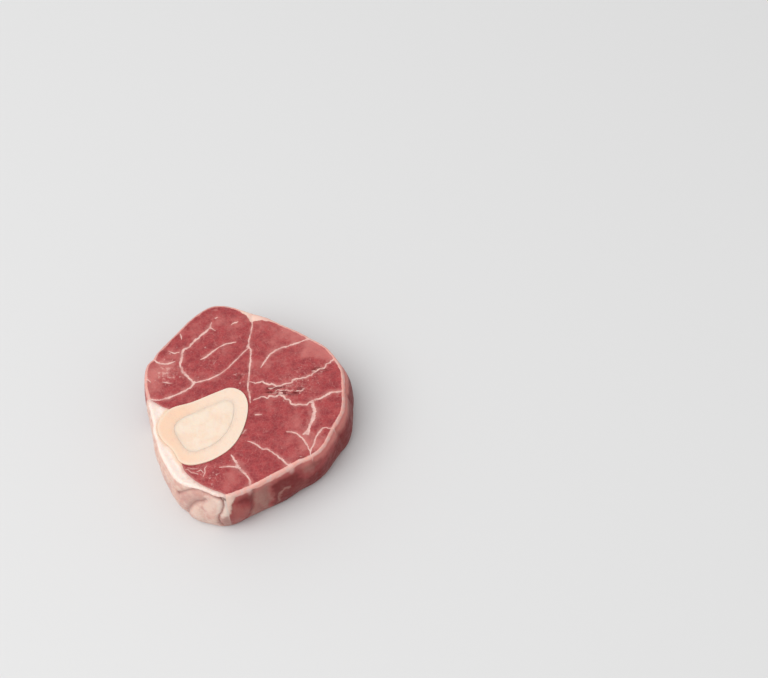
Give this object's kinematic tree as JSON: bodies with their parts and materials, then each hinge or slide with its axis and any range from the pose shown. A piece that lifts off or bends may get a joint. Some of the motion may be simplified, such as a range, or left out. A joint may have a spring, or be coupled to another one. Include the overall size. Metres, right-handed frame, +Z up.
{
  "type": "raw beef shank slice",
  "caption": "Thick bone-in slice of raw beef shank: red muscles parted by white seams round a sawn shin bone with marrow, and a band of pale fat down one side.",
  "frame": {"origin": "under the middle of the slice's box, on the surface that it lies on", "axes": "+Z up through the thickness; +Y away from the viewer of the picture, along the slice's longest side; +X to the right, away from the fat"},
  "size_m": [0.1156, 0.1256, 0.032],
  "materials": {
    "meat": "moist, softly glossy muscle with white seams",
    "fat": "waxy, slightly moist",
    "bone": "sawn, matte",
    "marrow": "soft and waxy"
  },
  "bodies": {
    "root": {"meat": "meat", "fat": "fat", "bone": "bone", "marrow": "marrow"}
  },
  "joints": []
}
